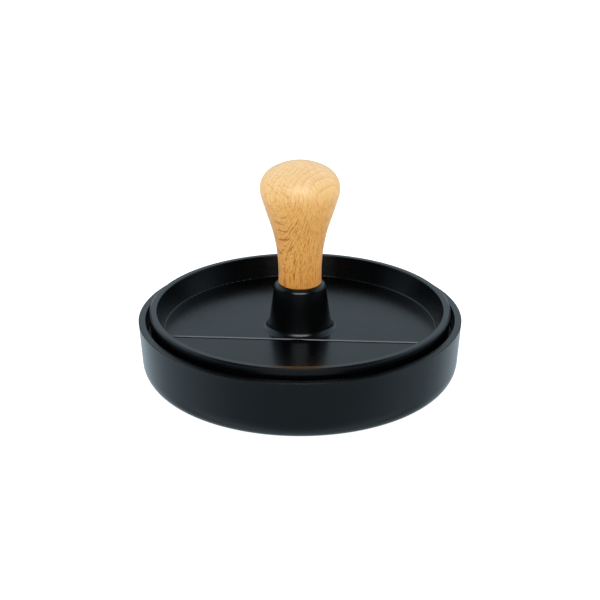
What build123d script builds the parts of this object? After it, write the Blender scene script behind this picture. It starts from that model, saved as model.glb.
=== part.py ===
from build123d import *

import os
from math import cos, radians, tan

# Patty press: a round mould, a press plate that drops into it, and a turned beech handle.
# Millimetres, +Z up. The origin is on the axis, on the surface that the mould stands on.

# ---------------------------------------------------------------- driving dimensions

# Mould: a cast dish. A ledge inside its wall carries the press plate and sets the patty's thickness.
mould_height = 25.6
mould_rim_radius = 65.0
mould_foot_radius = 63.3
mould_rim_width = 2.9
mould_floor = 6.2
mould_foot_width = 12.5
mould_foot_height = 3.4
mould_bottom_fillet = 9.0
mould_rim_outer_chamfer = 0.3
mould_rim_inner_fillet = 0.4
ledge_height = 17.7
ledge_bore_radius = 61.9
cavity_radius = 58.0
cavity_draft = 0.4
cavity_floor_fillet = 2.0
ledge_root_fillet = 0.5
ledge_edge_fillet = 0.4

# Press plate: a cast dish with a raised rim and a tapered boss. It rests on the ledge.
plate_height = 29.3
plate_rim_radius = 60.5
plate_foot_radius = 60.0
plate_rim_width = 2.85
plate_floor = 20.35
plate_wall_foot_radius = 55.0
plate_wall_fillet = 0.6
plate_foot_fillet = 0.8
plate_rim_outer_chamfer = 0.6
plate_rim_inner_fillet = 0.5

# Fine raised line that the casting die leaves across the plate's floor, in front of the boss
die_line_offset = 13.7
die_line_width = 1.0
die_line_height = 0.4
die_line_side_angle = 60.0
die_line_half_length = 57.0

# Boss and the shallow socket in its top, which takes the handle's spigot
boss_foot_radius = 12.9
boss_top_radius = 10.06
boss_top = 39.55
boss_foot_fillet = 2.6
boss_top_fillet = 2.0
socket_radius = 8.3
socket_depth = 1.6

# Low rings on the mould's floor and on the pressing face, so that the meat lets go
release_ring_radii = (18.0, 32.0, 46.0)
release_ring_half_width = 1.4
release_ring_height = 0.7

# Well in the underside of the boss, with a shallow recess that takes the plug's flange
well_radius = 6.0
well_roof = 25.9
plug_flange_radius = 7.5
plug_flange_thickness = 1.2
screw_clearance_radius = 2.75

# Handle: a spigot, a shoulder just clear of the boss, then a straight neck, long flare, round grip and a
# domed end, each arc tangent to the one before it
spigot_radius = 8.1
shoulder_clearance = 0.33
neck_radius = 8.57
neck_length = 3.97
flare_arc_radius = 70.2
flare_angle = 19.2
grip_arc_radius = 146.0
shoulder_angle = 15.2
shoulder_arc_radius = 8.7
dome_angle = 57.8
spigot_chamfer = 0.4

# M5 fixing: screw, washers and the insert in the handle
screw_radius = 2.5
screw_length = 25.0
screw_thread_length = 16.0
screw_pitch = 0.8
screw_thread_depth = 0.35
screw_head_radius = 4.75
screw_head_height = 2.75
screw_head_edge = 0.4
hex_across_flats = 3.0
hex_depth = 1.6
flat_washer_radius = 5.0
flat_washer_thickness = 1.0
lock_washer_radius = 4.6
lock_washer_thickness = 1.2
lock_washer_slit = 0.7
lock_washer_slit_angle = 20.0
flat_washer_chamfer = 0.2
washer_bore_radius = 2.65
insert_radius = 4.0
insert_length = 14.0
insert_set_back = 0.5
insert_bore_radius = 2.55
insert_pitch = 2.0
insert_thread_depth = 0.45
pilot_depth = 3.0

# Well plug
plug_body_height = 1.7
plug_wall = 1.5
plug_web = 0.6
plug_groove_radius = 4.5
plug_groove_half_width = 0.35

small_edge = 0.3

# ---------------------------------------------------------------- worked-out levels

die_line_sunk_width = die_line_width + 2 * die_line_height / tan(radians(die_line_side_angle))
socket_floor = boss_top - socket_depth
handle_shoulder = boss_top + shoulder_clearance
flat_washer_underside = well_roof - flat_washer_thickness
lock_washer_underside = flat_washer_underside - lock_washer_thickness
screw_head_bottom = lock_washer_underside - screw_head_height
screw_tip = lock_washer_underside + screw_length
insert_underside = socket_floor + insert_set_back
insert_top = insert_underside + insert_length
plug_flange_top = ledge_height + plug_flange_thickness


def corner(sketch, x, y):
    """The corner of a profile that is nearest to a point."""
    return sketch.vertices().sort_by_distance(Vector(x, y))[0]


def thread_rings(crest, depth, low, high, pitch):
    """Points of a V-thread's outline up the side of a round profile, from low to high."""
    points = []
    for turn in range(int((high - low) / pitch)):
        root_height = low + pitch * (turn + 0.5)
        points.append((crest, low + pitch * turn + pitch * 0.1))
        points.append((crest - depth, root_height))
        points.append((crest, low + pitch * (turn + 1) - pitch * 0.1))
    return points


# ---------------------------------------------------------------- mould

with BuildPart() as mould:
    with BuildSketch(Plane.XZ) as mould_profile:
        with BuildLine():
            Polyline(
                (0, mould_foot_height),
                (mould_foot_radius - mould_foot_width, mould_foot_height),
                (mould_foot_radius - mould_foot_width, 0),
                (mould_foot_radius, 0),
                (mould_rim_radius, mould_height),
                (mould_rim_radius - mould_rim_width, mould_height),
                (ledge_bore_radius, ledge_height),
                (cavity_radius, ledge_height),
                (cavity_radius - cavity_draft, mould_floor),
                (0, mould_floor),
                close=True,
            )
        make_face()
        fillet(corner(mould_profile, mould_foot_radius, 0), mould_bottom_fillet)
        chamfer(corner(mould_profile, mould_rim_radius, mould_height), mould_rim_outer_chamfer)
        rim_inner_corner = corner(mould_profile, mould_rim_radius - mould_rim_width, mould_height)
        fillet(rim_inner_corner, mould_rim_inner_fillet)
        fillet(corner(mould_profile, ledge_bore_radius, ledge_height), ledge_root_fillet)
        fillet(corner(mould_profile, cavity_radius, ledge_height), ledge_edge_fillet)
        fillet(corner(mould_profile, cavity_radius - cavity_draft, mould_floor), cavity_floor_fillet)
        fillet(corner(mould_profile, mould_foot_radius - mould_foot_width, 0), small_edge)
    revolve(axis=Axis.Z)
    with BuildSketch(Plane.XZ):
        for ring_radius in release_ring_radii:
            with Locations((ring_radius, mould_floor)):
                Ellipse(release_ring_half_width, release_ring_height)
    revolve(axis=Axis.Z)

mould.part.label = "mould"
export_step(mould.part, "parts/mould.step")

# ---------------------------------------------------------------- press plate

with BuildPart() as press_plate:
    with BuildSketch(Plane.XZ) as plate_profile:
        with BuildLine():
            Polyline(
                (plug_flange_radius, ledge_height),
                (plate_foot_radius, ledge_height),
                (plate_rim_radius, plate_height),
                (plate_rim_radius - plate_rim_width, plate_height),
                (plate_wall_foot_radius, plate_floor),
                (boss_foot_radius, plate_floor),
                (boss_top_radius, boss_top),
                (screw_clearance_radius, boss_top),
                (screw_clearance_radius, well_roof),
                (well_radius, well_roof),
                (well_radius, plug_flange_top),
                (plug_flange_radius, plug_flange_top),
                close=True,
            )
        make_face()
        fillet(corner(plate_profile, plate_foot_radius, ledge_height), plate_foot_fillet)
        chamfer(corner(plate_profile, plate_rim_radius, plate_height), plate_rim_outer_chamfer)
        rim_inner_corner = corner(plate_profile, plate_rim_radius - plate_rim_width, plate_height)
        fillet(rim_inner_corner, plate_rim_inner_fillet)
        fillet(corner(plate_profile, plate_wall_foot_radius, plate_floor), plate_wall_fillet)
        fillet(corner(plate_profile, boss_foot_radius, plate_floor), boss_foot_fillet)
        fillet(corner(plate_profile, boss_top_radius, boss_top), boss_top_fillet)
    revolve(axis=Axis.Z)
    with BuildSketch(Plane.XZ):
        for ring_radius in release_ring_radii:
            with Locations((ring_radius, ledge_height)):
                Ellipse(release_ring_half_width, release_ring_height)
    revolve(axis=Axis.Z)
    with BuildSketch(Plane.YZ.offset(-die_line_half_length)):
        with Locations((-die_line_offset, plate_floor)):
            Trapezoid(die_line_sunk_width, 2 * die_line_height, die_line_side_angle)
    extrude(amount=2 * die_line_half_length)
    with BuildSketch(Plane.XY.offset(socket_floor)):
        Circle(socket_radius)
    extrude(amount=socket_depth, mode=Mode.SUBTRACT)

press_plate.part.label = "press_plate"
export_step(press_plate.part, "parts/press_plate.step")

# ---------------------------------------------------------------- handle

with BuildPart() as handle:
    with BuildSketch(Plane.XZ) as handle_profile:
        with BuildLine():
            neck = Line((neck_radius, handle_shoulder), (neck_radius, handle_shoulder + neck_length))
            flare = JernArc(neck @ 1, neck % 1, flare_arc_radius, -flare_angle)
            grip = JernArc(flare @ 1, flare % 1, grip_arc_radius, flare_angle - shoulder_angle)
            shoulder = JernArc(grip @ 1, grip % 1, shoulder_arc_radius, shoulder_angle + dome_angle)
            dome_radius = (shoulder @ 1).X / cos(radians(dome_angle))
            dome = JernArc(shoulder @ 1, shoulder % 1, dome_radius, 90 - dome_angle)
            Polyline(
                dome @ 1,
                (0, socket_floor),
                (spigot_radius, socket_floor),
                (spigot_radius, handle_shoulder),
                neck @ 0,
            )
        make_face()
        chamfer(corner(handle_profile, spigot_radius, socket_floor), spigot_chamfer)
    revolve(axis=Axis.Z)
    with BuildSketch(Plane.XY.offset(socket_floor)):
        Circle(insert_radius)
    extrude(amount=insert_set_back + insert_length, mode=Mode.SUBTRACT)
    with BuildSketch(Plane.XY.offset(insert_top)):
        Circle(screw_clearance_radius)
    extrude(amount=pilot_depth, mode=Mode.SUBTRACT)

handle.part.label = "handle"
export_step(handle.part, "parts/handle.step")

# ---------------------------------------------------------------- threaded insert

with BuildPart() as threaded_insert:
    with BuildSketch(Plane.XZ):
        with BuildLine():
            Polyline(
                (insert_bore_radius, insert_underside),
                (insert_radius, insert_underside),
                *thread_rings(
                    insert_radius,
                    insert_thread_depth,
                    insert_underside,
                    insert_top,
                    insert_pitch,
                ),
                (insert_radius, insert_top),
                (insert_bore_radius, insert_top),
                close=True,
            )
        make_face()
    revolve(axis=Axis.Z)

threaded_insert.part.label = "threaded_insert"
export_step(threaded_insert.part, "parts/threaded_insert.step")

# ---------------------------------------------------------------- handle screw

with BuildPart() as handle_screw:
    with BuildSketch(Plane.XZ) as screw_profile:
        with BuildLine():
            head_edge = lock_washer_underside - screw_head_edge
            TangentArc((0, screw_head_bottom), (screw_head_radius, head_edge), tangent=(1, 0))
            Polyline(
                (screw_head_radius, head_edge),
                (screw_head_radius, lock_washer_underside),
                (screw_radius, lock_washer_underside),
                *thread_rings(
                    screw_radius,
                    screw_thread_depth,
                    screw_tip - screw_thread_length,
                    screw_tip - screw_pitch,
                    screw_pitch,
                ),
                (screw_radius, screw_tip - screw_pitch / 2),
                (screw_radius - screw_pitch / 2, screw_tip),
                (0, screw_tip),
                (0, screw_head_bottom),
            )
        make_face()
    revolve(axis=Axis.Z)
    with BuildSketch(Plane.XY.offset(screw_head_bottom)):
        RegularPolygon(hex_across_flats / 2, 6, major_radius=False)
    extrude(amount=hex_depth, mode=Mode.SUBTRACT)

handle_screw.part.label = "handle_screw"
export_step(handle_screw.part, "parts/handle_screw.step")

# ---------------------------------------------------------------- washers

with BuildPart() as flat_washer:
    with BuildSketch(Plane.XY.offset(flat_washer_underside)):
        Circle(flat_washer_radius)
        Circle(washer_bore_radius, mode=Mode.SUBTRACT)
    extrude(amount=flat_washer_thickness)
    chamfer(flat_washer.faces().sort_by(Axis.Z)[0].outer_wire().edges(), flat_washer_chamfer)

flat_washer.part.label = "flat_washer"
export_step(flat_washer.part, "parts/flat_washer.step")

with BuildPart() as lock_washer:
    with BuildSketch(Plane.XY.offset(lock_washer_underside)):
        Circle(lock_washer_radius)
        Circle(washer_bore_radius, mode=Mode.SUBTRACT)
        with Locations((lock_washer_radius, 0)):
            Rectangle(
                2 * lock_washer_radius,
                lock_washer_slit,
                rotation=lock_washer_slit_angle,
                mode=Mode.SUBTRACT,
            )
    extrude(amount=lock_washer_thickness)

lock_washer.part.label = "lock_washer"
export_step(lock_washer.part, "parts/lock_washer.step")

# ---------------------------------------------------------------- well plug

with BuildPart() as well_plug:
    with BuildSketch(Plane.XZ) as plug_profile:
        with BuildLine():
            Polyline(
                (0, ledge_height),
                (plug_flange_radius, ledge_height),
                (plug_flange_radius, plug_flange_top),
                (well_radius, plug_flange_top),
                (well_radius, plug_flange_top + plug_body_height),
                (well_radius - plug_wall, plug_flange_top + plug_body_height),
                (well_radius - plug_wall, plug_flange_top + plug_web),
                (0, plug_flange_top + plug_web),
                close=True,
            )
        make_face()
        fillet(corner(plug_profile, plug_flange_radius, ledge_height), small_edge)
        with Locations((plug_groove_radius, ledge_height)):
            Circle(plug_groove_half_width, mode=Mode.SUBTRACT)
    revolve(axis=Axis.Z)

well_plug.part.label = "well_plug"
export_step(well_plug.part, "parts/well_plug.step")
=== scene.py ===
import bpy
import math
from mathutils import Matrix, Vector

# Patty press: black coated castings, a turned beech handle and the M5 fixing that joins them.
# Metres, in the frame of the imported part: +Z up, the mould stands on z = 0.

MM = 0.001

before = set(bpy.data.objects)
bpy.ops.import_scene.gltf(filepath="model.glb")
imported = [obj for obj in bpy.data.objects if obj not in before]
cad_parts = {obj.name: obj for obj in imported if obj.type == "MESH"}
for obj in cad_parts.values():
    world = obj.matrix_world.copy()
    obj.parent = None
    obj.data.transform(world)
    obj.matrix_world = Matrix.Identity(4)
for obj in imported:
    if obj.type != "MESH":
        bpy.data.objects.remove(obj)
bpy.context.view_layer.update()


# ---------------------------------------------------------------- camera

CAMERA_AZIMUTH = math.radians(3.8)
CAMERA_ELEVATION = math.radians(22.5)
CAMERA_DISTANCE = 0.600
CAMERA_LENS = 89.4
AIM_HEIGHT = 31.7 * MM


def make_camera():
    data = bpy.data.cameras.new("camera")
    data.sensor_width = 36.0
    data.lens = CAMERA_LENS
    data.clip_start = 0.01
    data.clip_end = 20.0
    camera = bpy.data.objects.new("camera", data)
    bpy.context.scene.collection.objects.link(camera)
    back = Vector((
        math.sin(CAMERA_AZIMUTH) * math.cos(CAMERA_ELEVATION),
        -math.cos(CAMERA_AZIMUTH) * math.cos(CAMERA_ELEVATION),
        math.sin(CAMERA_ELEVATION),
    ))
    camera.location = Vector((0, 0, AIM_HEIGHT)) + back * CAMERA_DISTANCE
    camera.rotation_mode = "QUATERNION"
    camera.rotation_quaternion = (-back).to_track_quat("-Z", "Y")
    bpy.context.scene.camera = camera


make_camera()


# ---------------------------------------------------------------- node helpers

class Nodes:
    """A short way to write a node tree: a node with its values and links in one call."""

    def __init__(self, tree):
        self.tree = tree
        self.tree.nodes.clear()

    def add(self, kind, inputs=None, **settings):
        node = self.tree.nodes.new(kind)
        for name, value in settings.items():
            setattr(node, name, value)
        for key, value in (inputs or {}).items():
            self.set(node, key, value)
        return node

    def set(self, node, key, value):
        if isinstance(value, bpy.types.NodeSocket):
            self.tree.links.new(value, node.inputs[key])
        else:
            node.inputs[key].default_value = value

    def math(self, operation, first, second=0.0):
        values = {0: first, 1: second}
        return self.add("ShaderNodeMath", values, operation=operation).outputs[0]

    def vector(self, operation, first, second):
        return self.add("ShaderNodeVectorMath", {0: first, 1: second}, operation=operation)

    def noise(self, vector, scale, detail=2.0, roughness=0.5):
        values = {"Vector": vector, "Scale": scale, "Detail": detail, "Roughness": roughness}
        return self.add("ShaderNodeTexNoise", values).outputs["Fac"]

    def scaled(self, vector, x, y, z):
        return self.vector("MULTIPLY", vector, (x, y, z)).outputs[0]

    def remap(self, value, low, high, to_low=0.0, to_high=1.0, smooth=False):
        kind = "SMOOTHSTEP" if smooth else "LINEAR"
        values = {"Value": value, "From Min": low, "From Max": high, "To Min": to_low, "To Max": to_high}
        return self.add("ShaderNodeMapRange", values, interpolation_type=kind).outputs["Result"]

    def blend(self, factor, first, second, blend_type="MIX"):
        node = self.add("ShaderNodeMix", data_type="RGBA", blend_type=blend_type)
        self.set(node, 0, factor)
        self.set(node, 6, first)
        self.set(node, 7, second)
        return node.outputs[2]

    def bump(self, height, strength, distance, normal=None):
        values = {"Height": height, "Strength": strength, "Distance": distance}
        if normal is not None:
            values["Normal"] = normal
        return self.add("ShaderNodeBump", values).outputs["Normal"]

    def finish_surface(self, **inputs):
        shader = self.add("ShaderNodeBsdfPrincipled")
        for key, value in inputs.items():
            self.set(shader, key.replace("_", " "), value)
        output = self.add("ShaderNodeOutputMaterial")
        self.tree.links.new(shader.outputs[0], output.inputs["Surface"])


def new_material(name):
    material = bpy.data.materials.new(name)
    material.use_nodes = True
    return material, Nodes(material.node_tree)


# All sizes in the materials are millimetres. Their z is measured from this height above the stand.
PATTERN_BASE = 2.6
MM_PER_METRE = 1000


def millimetres(n):
    """Object coordinates in millimetres, with z measured from PATTERN_BASE."""
    metres = n.add("ShaderNodeTexCoord").outputs["Object"]
    place = n.scaled(metres, MM_PER_METRE, MM_PER_METRE, MM_PER_METRE)
    return n.vector("ADD", place, (0, 0, -PATTERN_BASE)).outputs[0]


# ---------------------------------------------------------------- materials

COATING_DARK = (0.0007, 0.0008, 0.0011, 1)
COATING_LIGHT = (0.0011, 0.0013, 0.0017, 1)
# lighter edge colour: partly rubbed wear, partly a painted edge highlight
COATING_RUBBED_AND_HIGHLIT = (0.012, 0.013, 0.014, 1)
SKIN_TINT = (0.85, 0.95, 1, 1)
CAST_FLOOR_TINT = (0.16, 0.19, 0.21, 1)
RIM_ROUGHNESS = 0.26
RIM_INNER_RADIUS = 50
CAST_FLOOR_RADIUS = 57


def coated_casting(name, seed, rim_level, floor_level, skin):
    """Black non-stick coating on a casting: satin, with a fine orange peel and rubbed edges, lightened
    as real wear and as a painted edge highlight. The rim, above rim_level, was machined before coating.
    The cast floor, up to floor_level, reflects less."""
    material, n = new_material(name)
    place = millimetres(n)
    z = n.add("ShaderNodeSeparateXYZ", {"Vector": place}).outputs["Z"]
    outward = n.add("ShaderNodeVectorMath", {0: n.scaled(place, 1, 1, 0)}, operation="LENGTH")
    radius = outward.outputs["Value"]
    near_rim = n.remap(radius, RIM_INNER_RADIUS, RIM_INNER_RADIUS + 1)
    rim = n.math("MULTIPLY", n.remap(z, rim_level - 0.1, rim_level + 0.1), near_rim)
    inside_wall = n.remap(radius, CAST_FLOOR_RADIUS, CAST_FLOOR_RADIUS - 0.5)
    cast_floor = n.math("MULTIPLY", n.remap(z, floor_level, floor_level - 0.05), inside_wall)

    place = n.vector("ADD", place, (seed, seed, seed)).outputs[0]
    cloud = n.noise(place, 0.045, 3.0, 0.55)
    speckle = n.noise(place, 1.6, 2.0, 0.6)
    peel = n.noise(place, 1.1, 2.0, 0.5)
    wave = n.noise(place, 0.09, 1.0, 0.4)
    colour = n.blend(n.remap(cloud, 0.3, 0.7), COATING_DARK, COATING_LIGHT)
    # convex edges lightened: partly rubbed wear, partly a painted edge highlight
    rubbed_and_highlit = n.remap(n.add("ShaderNodeNewGeometry").outputs["Pointiness"], 0.53, 0.60)
    rubbed_and_highlit = n.math("MULTIPLY", rubbed_and_highlit, n.remap(speckle, 0.35, 0.65, 0.4, 1.0))
    colour = n.blend(n.math("MULTIPLY", rubbed_and_highlit, 0.6), colour, COATING_RUBBED_AND_HIGHLIT)

    cloudy = n.remap(cloud, 0.3, 0.7, skin - 0.025, skin + 0.025)
    skin_roughness = n.math("ADD", cloudy, n.remap(speckle, 0.3, 0.7, -0.02, 0.02))
    rough = n.add("ShaderNodeMix", {0: rim, 2: skin_roughness, 3: RIM_ROUGHNESS}).outputs[0]
    tint = n.blend(cast_floor, SKIN_TINT, CAST_FLOOR_TINT)
    normal = n.bump(wave, 0.25, 0.00025)
    normal = n.bump(peel, 0.10, 0.00004, normal)
    n.finish_surface(Base_Color=colour, Roughness=rough, Normal=normal, IOR=1.5, Specular_Tint=tint)
    return material


# The direction across the growth rings, about +Z from +X
RING_TURN = math.radians(-39.2)
RING_PITCH = 2.1
PORE_PITCH = 0.7

# Wood rays: pitch and thickness across the sheets, length and height of a broken piece, shift of the
# pattern, strength and colour
RAY_KINDS = {
    "short": (0.34, 0.09, 1.6, 0.9, 7.0, 0.55, (0.68, 0.23, 0.016, 1)),
    "fine": (0.40, 0.10, 3.5, 1.5, 0.0, 0.65, (0.60, 0.19, 0.012, 1)),
    "middle": (0.62, 0.12, 5.0, 2.2, 13.0, 0.72, (0.53, 0.155, 0.008, 1)),
    "broad": (1.15, 0.15, 6.0, 3.0, 29.0, 0.78, (0.45, 0.12, 0.006, 1)),
}


def ray_sheets(n, turned, pitch, thickness, length, height, shift):
    """Thin sheets across y, broken up along the other two directions and fainter towards the top of the
    handle. 1 on a sheet, 0 off it."""
    axes = n.add("ShaderNodeSeparateXYZ", {"Vector": turned}).outputs
    spot = n.vector("ADD", turned, (shift, shift, shift)).outputs[0]
    sway = n.noise(n.scaled(spot, 0.12, 0.12, 0.035), 1.0, 0.0, 0.5)
    depth = n.math("ADD", axes["Y"], n.remap(sway, 0, 1, -1.3, 1.3))
    phase = n.math("FRACT", n.math("MULTIPLY", depth, 1 / pitch))
    offset = n.math("ABSOLUTE", n.math("SUBTRACT", phase, 0.5))
    sheet = n.remap(offset, thickness / pitch, 0.4 * thickness / pitch, smooth=True)
    patch = n.noise(n.scaled(spot, 1 / length, 0.9 / pitch, 1 / height), 1.0, 1.0, 0.5)
    broken = n.math("MULTIPLY", sheet, n.remap(patch, 0.48, 0.58, smooth=True))
    return n.math("MULTIPLY", broken, n.remap(axes["Z"], 62, 78, 1.0, 0.35))


def beech(name):
    """Oiled beech turned along the grain. Growth rings are layers across one direction, and the rays are
    thin upright sheets across the other."""
    material, n = new_material(name)
    turn = {"Vector": millimetres(n), "Angle": -RING_TURN}
    turned = n.add("ShaderNodeVectorRotate", turn, rotation_type="Z_AXIS").outputs["Vector"]
    # x runs across the growth rings, y across the rays, z along the grain
    axes = n.add("ShaderNodeSeparateXYZ", {"Vector": turned}).outputs
    fibres = n.noise(n.scaled(turned, 3.2, 3.2, 0.12), 1.0, 3.0, 0.6)
    breaks = n.noise(n.scaled(turned, 2.2, 2.2, 0.35), 1.0, 2.0, 0.5)

    warp = n.noise(n.scaled(turned, 0.11, 0.07, 0.028), 1.0, 2.0, 0.45)
    ring_place = n.math("ADD", axes["X"], n.remap(warp, 0, 1, -3.0, 3.0))
    ring_phase = n.math("FRACT", n.math("MULTIPLY", ring_place, 1 / RING_PITCH))
    ring_breaks = n.remap(breaks, 0.35, 0.62, 0.20, 1.0)
    ring_line = n.math("MULTIPLY", n.math("POWER", ring_phase, 8.0), ring_breaks)
    ring_band = n.math("POWER", ring_phase, 1.5)
    pore_phase = n.math("FRACT", n.math("MULTIPLY", ring_place, 1 / PORE_PITCH))
    pore_line = n.math("MULTIPLY", n.math("POWER", pore_phase, 5.0), n.remap(breaks, 0.45, 0.65))

    # broad changes of colour along the handle: random patches, painted shade towards the foot and a
    # painted highlight towards the top of the knob
    patches = n.noise(n.scaled(turned, 0.10, 0.10, 0.035), 1.0, 2.0, 0.5)
    # painted shade: the wood turns darker and more orange towards the foot of the handle, where less
    # light reaches
    painted_shade_lower = n.remap(axes["Z"], 68, 38, 0, 0.55, smooth=True)
    painted_shade_foot = n.remap(axes["Z"], 48, 37, 0, 0.35, smooth=True)
    # painted highlight: paler, creamier wood towards the top of the knob, standing in for light from
    # above and sheen
    painted_light_top = n.remap(axes["Z"], 71, 86, 0, 0.55, smooth=True)

    colour = n.blend(n.remap(fibres, 0.3, 0.7), (0.90, 0.565, 0.190, 1), (0.82, 0.465, 0.130, 1))
    colour = n.blend(n.remap(patches, 0.35, 0.70, 0, 0.30), colour, (0.74, 0.37, 0.080, 1))
    # painted shade, darker and more orange towards the foot
    colour = n.blend(painted_shade_lower, colour, (0.90, 0.37, 0.040, 1))
    colour = n.blend(painted_shade_foot, colour, (0.64, 0.24, 0.016, 1))
    # painted highlight, paler towards the top of the knob
    colour = n.blend(painted_light_top, colour, (0.86, 0.72, 0.44, 1))
    colour = n.blend(n.math("MULTIPLY", ring_band, 0.16), colour, (0.68, 0.33, 0.075, 1))
    colour = n.blend(n.math("MULTIPLY", pore_line, 0.32), colour, (0.70, 0.30, 0.045, 1))
    colour = n.blend(n.math("MULTIPLY", ring_line, 0.62), colour, (0.66, 0.25, 0.030, 1))
    sheets = {}
    for kind, (pitch, thickness, length, height, shift, strength, ray_colour) in RAY_KINDS.items():
        sheets[kind] = ray_sheets(n, turned, pitch, thickness, length, height, shift)
        colour = n.blend(n.math("MULTIPLY", sheets[kind], strength), colour, ray_colour)

    rough = n.remap(fibres, 0.3, 0.7, 0.36, 0.48)
    normal = n.bump(n.math("SUBTRACT", 0.0, sheets["middle"]), 0.15, 0.00004)
    n.finish_surface(
        Base_Color=colour, Roughness=rough, Normal=normal, IOR=1.52,
        Sheen_Weight=0.16, Sheen_Roughness=0.45, Sheen_Tint=(1.0, 0.97, 0.93, 1),
    )
    return material


def turned_metal(name, colour, roughness):
    """Machined metal with faint rings from the lathe."""
    material, n = new_material(name)
    place = millimetres(n)
    rings = n.noise(n.scaled(place, 0.3, 0.3, 9.0), 1.0, 2.0, 0.6)
    tarnish = n.noise(place, 0.5, 3.0, 0.6)
    tarnished = [channel * 0.6 for channel in colour[:3]] + [1]
    shade = n.blend(n.remap(tarnish, 0.3, 0.7, 0.0, 0.35), colour, tarnished)
    rough = n.remap(rings, 0.3, 0.7, roughness - 0.06, roughness + 0.08)
    normal = n.bump(rings, 0.15, 0.00003)
    n.finish_surface(Base_Color=shade, Metallic=1.0, Roughness=rough, Normal=normal)
    return material


def silicone(name):
    """Dark grey food-grade silicone, dull, with a little dust in its skin."""
    material, n = new_material(name)
    place = millimetres(n)
    dust = n.noise(place, 2.2, 3.0, 0.6)
    colour = n.blend(n.remap(dust, 0.4, 0.8), (0.022, 0.022, 0.024, 1), (0.04, 0.04, 0.042, 1))
    rough = n.remap(dust, 0.3, 0.7, 0.55, 0.68)
    normal = n.bump(dust, 0.1, 0.00004)
    n.finish_surface(Base_Color=colour, Roughness=rough, Normal=normal, IOR=1.41)
    return material


def paint_nodes():
    finishes = {
        "mould": coated_casting(
            "coating_mould", seed=0.0, rim_level=22.6, floor_level=3.7, skin=0.265,
        ),
        "press_plate": coated_casting(
            "coating_plate", seed=300.0, rim_level=26.3, floor_level=17.85, skin=0.25,
        ),
        "handle": beech("beech_oiled"),
        "threaded_insert": turned_metal("brass_insert", (0.80, 0.58, 0.26, 1), 0.32),
        "handle_screw": turned_metal("stainless_screw", (0.58, 0.57, 0.55, 1), 0.30),
        "flat_washer": turned_metal("stainless_flat_washer", (0.60, 0.59, 0.57, 1), 0.36),
        "lock_washer": turned_metal("stainless_lock_washer", (0.50, 0.49, 0.48, 1), 0.40),
        "well_plug": silicone("plug_silicone"),
    }
    for node_name, material in finishes.items():
        for material_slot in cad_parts[node_name].material_slots:
            material_slot.material = material


paint_nodes()


# ---------------------------------------------------------------- floor and light

FLOOR_SIZE = 8.0
FLOOR_GLOW = 0.97


def make_floor():
    """A pale floor that glows, so that the object throws hardly any shadow on it."""
    bpy.ops.mesh.primitive_plane_add(size=FLOOR_SIZE, location=(0, 0, 0))
    floor = bpy.context.object
    floor.name = "floor"
    material, n = new_material("floor_pale")
    n.finish_surface(
        Base_Color=(0.3, 0.3, 0.3, 1), Roughness=0.9,
        Emission_Color=(1, 1, 1, 1), Emission_Strength=FLOOR_GLOW,
    )
    floor.data.materials.append(material)
    floor.visible_glossy = False


DARKNESS = 0.006
GLOSS_TINT = (0.74, 0.90, 1.0, 1)


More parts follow.
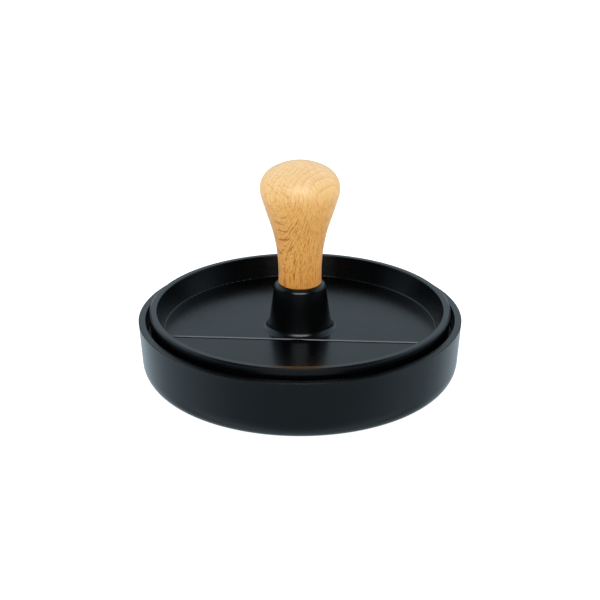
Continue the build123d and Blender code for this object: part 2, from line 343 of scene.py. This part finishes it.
def make_world():
    """White surroundings for the camera and a soft light for dull surfaces, stronger from above. Glossy
    surfaces see a pale table below the horizon, a bright ring above it behind and beside the object, and
    near darkness elsewhere."""
    world = bpy.data.worlds.new("studio")
    bpy.context.scene.world = world
    world.cycles.sampling_method = "NONE"
    world.use_nodes = True
    n = Nodes(world.node_tree)
    direction = n.add("ShaderNodeTexCoord").outputs["Generated"]
    axes = n.add("ShaderNodeSeparateXYZ", {"Vector": direction}).outputs
    flat = n.vector("NORMALIZE", n.scaled(direction, 1, 1, 0), (0, 0, 0)).outputs[0]
    rearward = n.add("ShaderNodeSeparateXYZ", {"Vector": flat}).outputs["Y"]

    near_table = n.remap(rearward, -1.0, 0.15, 0.33, 0.70, smooth=True)
    far_table = n.remap(rearward, 0.30, 1.0, 0.0, 0.32, smooth=True)
    table = n.math("ADD", near_table, far_table)
    table = n.math("MULTIPLY", table, n.remap(axes["X"], -1, 1, 1.10, 0.88))
    # the foot's fillet looks down and back at the table in the object's own shadow
    steep = n.remap(axes["Z"], -0.45, -0.75, smooth=True)
    under = n.math("MULTIPLY", steep, n.remap(rearward, 0.0, 0.2))
    table = n.math("MULTIPLY", table, n.remap(under, 0, 1, 1.0, 0.40))
    table = n.math("MULTIPLY", table, n.remap(axes["Z"], 0.02, -0.28, smooth=True))
    ring = n.remap(rearward, -0.45, 0.20, 0, 0.78, smooth=True)
    ring = n.math("MULTIPLY", ring, n.remap(axes["Z"], 0.02, 0.24, smooth=True))
    ring = n.math("MULTIPLY", ring, n.remap(axes["Z"], 0.95, 0.62, smooth=True))
    # a faint glow low in front
    glow = n.remap(rearward, -0.90, -0.975, 0, 0.13)
    glow = n.math("MULTIPLY", glow, n.remap(axes["Z"], -0.30, -0.16))
    glow = n.math("MULTIPLY", glow, n.remap(axes["Z"], 0.30, 0.16))
    for_gloss = n.math("ADD", n.math("ADD", table, ring), n.math("ADD", glow, DARKNESS))
    for_dull = n.remap(axes["Z"], -0.1, 0.9, 0.92, 1.28)

    path = n.add("ShaderNodeLightPath").outputs
    strength = n.add("ShaderNodeMix", {0: path["Is Glossy Ray"], 2: for_dull, 3: for_gloss}).outputs[0]
    strength = n.math("MAXIMUM", strength, path["Is Camera Ray"])
    tint = n.blend(path["Is Glossy Ray"], (1, 1, 1, 1), GLOSS_TINT)
    background = n.add("ShaderNodeBackground", {"Color": tint, "Strength": strength})
    output = n.add("ShaderNodeOutputWorld")
    n.tree.links.new(background.outputs[0], output.inputs["Surface"])


def area_light(name, azimuth, elevation, distance, width, height, power):
    """A soft box that looks at the object and shows in glossy surfaces only. Azimuth 0 is in front and
    90 on the right."""
    data = bpy.data.lights.new(name, "AREA")
    data.shape = "RECTANGLE"
    data.size = width
    data.size_y = height
    data.energy = power
    light = bpy.data.objects.new(name, data)
    bpy.context.scene.collection.objects.link(light)
    a, e = math.radians(azimuth), math.radians(elevation)
    back = Vector((math.sin(a) * math.cos(e), -math.cos(a) * math.cos(e), math.sin(e)))
    light.location = back * distance
    light.rotation_mode = "QUATERNION"
    light.rotation_quaternion = (-back).to_track_quat("-Z", "Y")
    light.visible_diffuse = False


make_floor()
make_world()
area_light(
    "softbox_front", azimuth=4, elevation=37, distance=0.9, width=0.80, height=0.42, power=6.0,
)

bpy.context.scene.view_settings.view_transform = "Standard"
